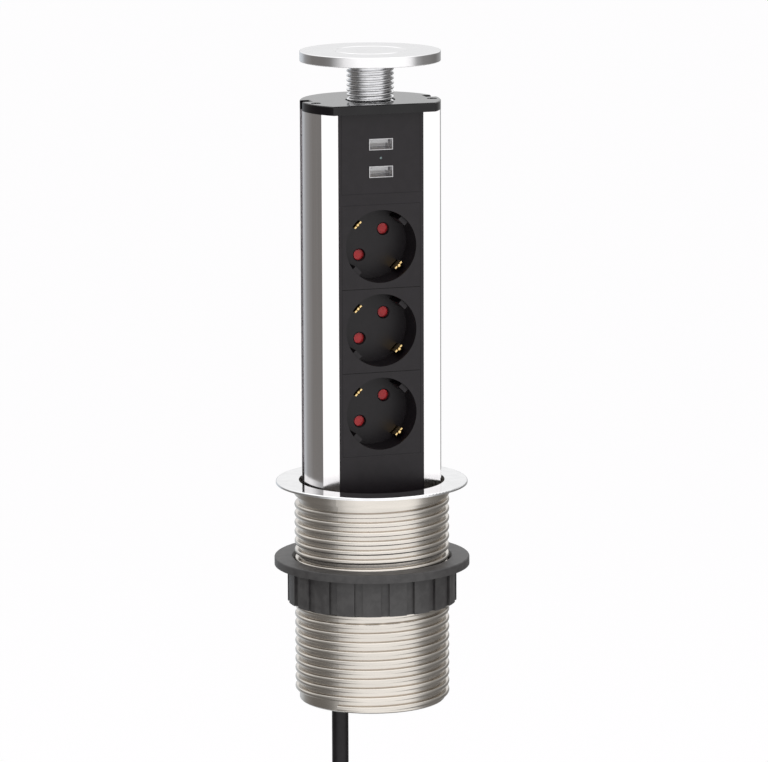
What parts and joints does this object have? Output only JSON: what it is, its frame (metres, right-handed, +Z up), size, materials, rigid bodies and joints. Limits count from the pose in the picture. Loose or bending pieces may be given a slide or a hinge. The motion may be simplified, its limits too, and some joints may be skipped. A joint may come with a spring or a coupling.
{
  "type": "built-in socket unit",
  "caption": "Pop-up socket tower that slides up through a round worktop hole, with mains sockets and charging ports behind a flat black front, a lift-up cap and a clamp nut below",
  "frame": {"origin": "on the tower's axis, in the plane where the bezel lies on the worktop", "axes": "+Z up along the tower's travel, the socket fronts face -Y, +X to the viewer's right"},
  "size_m": [0.1431, 0.105, 0.6722],
  "materials": {
    "polished_chrome": "polished",
    "satin_nickel": "satin, machined thread",
    "cap_metal": "satin anodised",
    "aluminium": "satin anodised",
    "gloss_black": "glossy",
    "black_plastic": "satin, fine grain",
    "grey_plastic": "satin",
    "white_plastic": "satin",
    "red_plastic": "glossy",
    "contact_brass": "satin",
    "gold_clip": "polished",
    "port_steel": "satin",
    "screw_steel": "satin",
    "spring_steel": "satin",
    "pin_metal": "satin nickel plate",
    "board_green": "satin",
    "clear_light": "clear, lit white",
    "core_sleeving": "satin",
    "black_rubber": "matte",
    "plug_black": "satin"
  },
  "bodies": {
    "mount": {"bezel_ring": "polished_chrome", "mounting_sleeve": "satin_nickel", "guide_ring": "black_plastic"},
    "clamp_ring": {"clamp_ring": "grey_plastic"},
    "clamp_nut": {"clamp_nut": "grey_plastic"},
    "tower": {"tower_profile": "aluminium", "top_plate": "gloss_black", "plate_screws": "screw_steel", "threaded_stem": "polished_chrome", "stem_nut": "screw_steel", "cap": "cap_metal", "button_spring": "spring_steel", "latch_sleeve": "white_plastic", "front_frame": "black_plastic", "usb_faceplate": "black_plastic", "usb_shell_upper": "port_steel", "usb_shell_lower": "port_steel", "usb_tongues": "white_plastic", "usb_board": "board_green", "light_pipe": "clear_light", "bus_bars": "contact_brass", "base_cap": "black_plastic", "base_screws": "screw_steel", "terminal_block": "white_plastic", "inner_wires": "core_sleeving", "supply_cores": "core_sleeving", "cable_gland": "black_rubber", "power_cord": "black_rubber", "cord_coil": "black_rubber", "cord_tail": "black_rubber", "coil_tie": "black_plastic", "plug_body": "plug_black", "plug_pins": "pin_metal", "plug_contacts": "contact_brass", "socket_front_1": "black_plastic", "socket_housing_1": "black_plastic", "live_contacts_1": "contact_brass", "earth_clips_1": "gold_clip", "socket_front_2": "black_plastic", "socket_housing_2": "black_plastic", "live_contacts_2": "contact_brass", "earth_clips_2": "gold_clip", "socket_front_3": "black_plastic", "socket_housing_3": "black_plastic", "live_contacts_3": "contact_brass", "earth_clips_3": "gold_clip"},
    "button": {"cap_button": "cap_metal", "button_clip": "spring_steel"},
    "shutter_1": {"shutter_1": "red_plastic"},
    "shutter_2": {"shutter_2": "red_plastic"},
    "shutter_3": {"shutter_3": "red_plastic"}
  },
  "joints": [
    {"name": "tower_slide", "type": "slide", "parent": "mount", "child": "tower", "axis": [0, 0, 1], "range_m": [-0.231, 0]},
    {"name": "clamp_slide", "type": "slide", "parent": "mount", "child": "clamp_ring", "axis": [0, 0, 1], "range_m": [-0.05, 0.03]},
    {"name": "clamp_turn", "type": "hinge", "parent": "clamp_ring", "child": "clamp_nut", "pos_m": [0, 0, -0.05], "axis": [0, 0, 1], "range_deg": [-3610, 2170]},
    {"name": "button_slide", "type": "slide", "parent": "tower", "child": "button", "axis": [0, 0, 1], "range_m": [0, 0.0045], "deforming": ["button_spring"]},
    {"name": "shutter_turn_1", "type": "hinge", "parent": "tower", "child": "shutter_1", "pos_m": [0, 0.0027, 0.0403], "axis": [0, 1, 0], "range_deg": [0, 42], "stiffness_Nm_per_rad": 0.002, "springref_deg": -20.05},
    {"name": "shutter_turn_2", "type": "hinge", "parent": "tower", "child": "shutter_2", "pos_m": [0, 0.0027, 0.0853], "axis": [0, 1, 0], "range_deg": [0, 42], "stiffness_Nm_per_rad": 0.002, "springref_deg": -20.05},
    {"name": "shutter_turn_3", "type": "hinge", "parent": "tower", "child": "shutter_3", "pos_m": [0, 0.0027, 0.1303], "axis": [0, 1, 0], "range_deg": [0, 42], "stiffness_Nm_per_rad": 0.002, "springref_deg": -20.05}
  ],
  "couplings": [
    {"joint": "clamp_turn", "follows": "clamp_slide", "rad_per_m": 1256.6}
  ]
}
